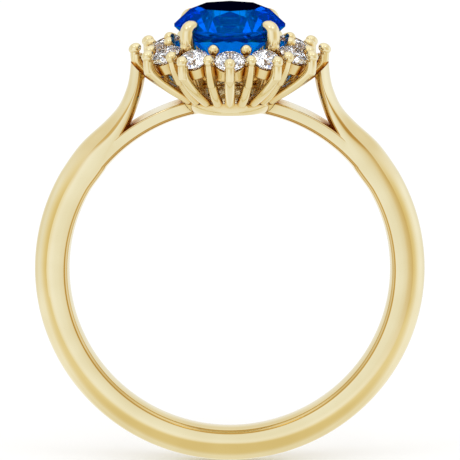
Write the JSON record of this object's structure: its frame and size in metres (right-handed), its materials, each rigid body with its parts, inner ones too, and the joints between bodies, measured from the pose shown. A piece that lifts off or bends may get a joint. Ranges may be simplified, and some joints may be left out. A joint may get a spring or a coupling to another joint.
{
  "type": "engagement ring",
  "caption": "Finger ring with a round blue stone in claws, a halo of tilted round clear stones on a prong basket, and a domed cathedral shank in yellow gold.",
  "frame": {"origin": "centre of the finger hole, midway between the two flat sides of the shank", "axes": "+Z from the finger towards the centre stone, +Y along the finger away from the front, +X to the right seen from the front"},
  "size_m": [0.021, 0.0108, 0.0249],
  "materials": {
    "gold": "polished pale 14 carat yellow gold",
    "sapphire": "polished facets, deep royal blue",
    "diamond": "polished facets, colourless"
  },
  "bodies": {
    "root": {"shank": "gold", "head_base": "gold", "sapphire": "sapphire", "diamond_1": "diamond", "diamond_2": "diamond", "diamond_3": "diamond", "diamond_4": "diamond", "diamond_5": "diamond", "diamond_6": "diamond", "diamond_7": "diamond", "diamond_8": "diamond", "diamond_9": "diamond", "diamond_10": "diamond", "diamond_11": "diamond", "diamond_12": "diamond", "seat_1": "gold", "seat_2": "gold", "seat_3": "gold", "seat_4": "gold", "seat_5": "gold", "seat_6": "gold", "seat_7": "gold", "seat_8": "gold", "seat_9": "gold", "seat_10": "gold", "seat_11": "gold", "seat_12": "gold", "shared_prong_1": "gold", "shared_prong_2": "gold", "shared_prong_3": "gold", "shared_prong_4": "gold", "shared_prong_5": "gold", "shared_prong_6": "gold", "shared_prong_7": "gold", "shared_prong_8": "gold", "shared_prong_9": "gold", "shared_prong_10": "gold", "shared_prong_11": "gold", "shared_prong_12": "gold", "claw_1": "gold", "claw_2": "gold", "claw_3": "gold", "claw_4": "gold", "inner_bead_1": "gold", "inner_bead_2": "gold", "inner_bead_3": "gold", "inner_bead_4": "gold", "inner_bead_5": "gold", "inner_bead_6": "gold", "inner_bead_7": "gold", "inner_bead_8": "gold", "centre_rail": "gold", "halo_rail": "gold"}
  },
  "joints": []
}
